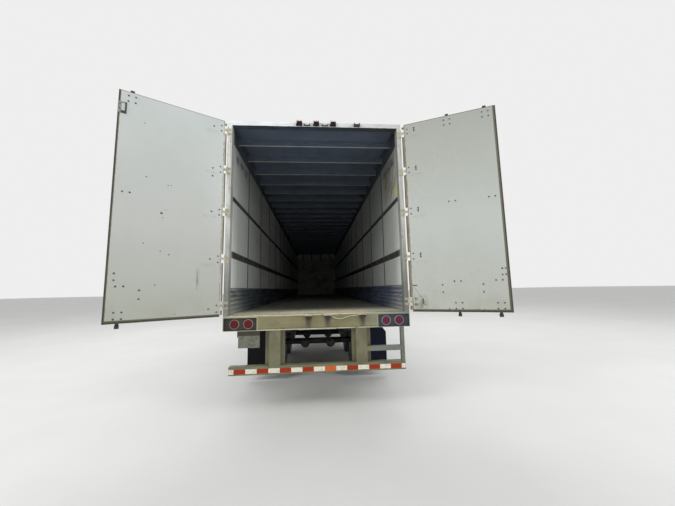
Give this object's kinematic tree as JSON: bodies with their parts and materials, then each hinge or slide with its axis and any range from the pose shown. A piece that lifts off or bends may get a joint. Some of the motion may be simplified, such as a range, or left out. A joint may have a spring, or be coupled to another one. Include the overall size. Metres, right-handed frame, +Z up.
{
  "type": "semi trailer",
  "caption": "Long dry-freight box semi trailer parked on its landing legs, rear swing doors open, on a sliding tandem bogie with dual wheels.",
  "frame": {"origin": "on the kingpin's axis, at the underside of the coupler plate", "axes": "+Y towards the nose, +Z up, +X to the curb side; the doors face -Y"},
  "size_m": [4.7912, 16.9736, 4.135],
  "materials": {
    "white_panel": "satin, lightly grimed",
    "door_skin": "pale grey-green enamel, scuffed",
    "frame_steel": "worn olive-khaki paint",
    "post_steel": "worn tan and grey paint",
    "header_steel": "pale grey paint",
    "rail_aluminium": "mill finish, dull",
    "galvanised": "galvanised",
    "dark_steel": "black chassis paint, dusty",
    "liner_steel": "dark slate, scuffed",
    "deck_wood": "dark worn laminated hardwood",
    "ply": "plywood lining",
    "threshold_steel": "worn tan",
    "rubber_black": "matt",
    "tyre_rubber": "matt, dusty",
    "wheel_paint": "white, road-stained",
    "lens_red": "red lens",
    "lens_amber": "amber lens",
    "plate_blank": "blank plate",
    "pin_steel": "forged, greased"
  },
  "bodies": {
    "box": {"bottom_rails": "rail_aluminium", "coupler": "dark_steel", "floor_beams": "dark_steel", "floor_deck": "deck_wood", "front_lining": "ply", "front_wall": "white_panel", "header_lamps": "lens_red", "hinge_butts": "post_steel", "joint_strips": "liner_steel", "keepers": "galvanised", "kingpin": "pin_steel", "landing_braces": "dark_steel", "landing_legs": "dark_steel", "landing_shaft": "dark_steel", "landing_shoes": "dark_steel", "number_plate": "plate_blank", "rear_guard": "frame_steel", "rear_header": "header_steel", "rear_posts": "post_steel", "rear_sill": "frame_steel", "roof_bows": "galvanised", "roof_sheet": "white_panel", "scuff_liner_left": "liner_steel", "scuff_liner_right": "liner_steel", "service_panel": "galvanised", "side_lamps": "lens_amber", "side_panels_left": "white_panel", "side_panels_right": "white_panel", "slide_rails": "dark_steel", "tail_lamps": "lens_red", "threshold": "threshold_steel", "top_rails": "rail_aluminium", "wall_tracks_left": "galvanised", "wall_tracks_right": "galvanised"},
    "bogie": {"slider_frame": "dark_steel", "trailing_arms": "dark_steel", "air_springs": "rubber_black", "axles": "dark_steel", "brake_chambers": "dark_steel", "mud_flaps": "rubber_black", "air_tank": "dark_steel"},
    "left_door": {"door_left": "door_skin", "door_seal_left": "rubber_black", "door_hinges_left": "galvanised", "lock_rods_left": "galvanised"},
    "right_door": {"door_right": "door_skin", "door_seal_right": "rubber_black", "door_hinges_right": "galvanised", "lock_rods_right": "galvanised"},
    "rear_left_wheels": {"tyres_rear_left": "tyre_rubber", "wheel_rear_left": "wheel_paint"},
    "rear_right_wheels": {"tyres_rear_right": "tyre_rubber", "wheel_rear_right": "wheel_paint"},
    "front_left_wheels": {"tyres_front_left": "tyre_rubber", "wheel_front_left": "wheel_paint"},
    "front_right_wheels": {"tyres_front_right": "tyre_rubber", "wheel_front_right": "wheel_paint"}
  },
  "joints": [
    {"name": "bogie_slide", "type": "slide", "parent": "box", "child": "bogie", "axis": [0, 1, 0], "range_m": [-0.762, 1.676]},
    {"name": "left_door_swing", "type": "hinge", "parent": "box", "child": "left_door", "pos_m": [-1.286, -15.264, 0.076], "axis": [0, 0, -1], "range_deg": [-148.5, 114.5]},
    {"name": "right_door_swing", "type": "hinge", "parent": "box", "child": "right_door", "pos_m": [1.286, -15.264, 0.076], "axis": [0, 0, 1], "range_deg": [-154, 109]},
    {"name": "rear_left_spin", "type": "hinge", "parent": "bogie", "child": "rear_left_wheels", "pos_m": [-0.984, -12.79, -0.687], "axis": [1, 0, 0], "continuous": true},
    {"name": "rear_right_spin", "type": "hinge", "parent": "bogie", "child": "rear_right_wheels", "pos_m": [0.984, -12.79, -0.687], "axis": [1, 0, 0], "continuous": true},
    {"name": "front_left_spin", "type": "hinge", "parent": "bogie", "child": "front_left_wheels", "pos_m": [-0.984, -11.5454, -0.687], "axis": [1, 0, 0], "continuous": true},
    {"name": "front_right_spin", "type": "hinge", "parent": "bogie", "child": "front_right_wheels", "pos_m": [0.984, -11.5454, -0.687], "axis": [1, 0, 0], "continuous": true}
  ]
}
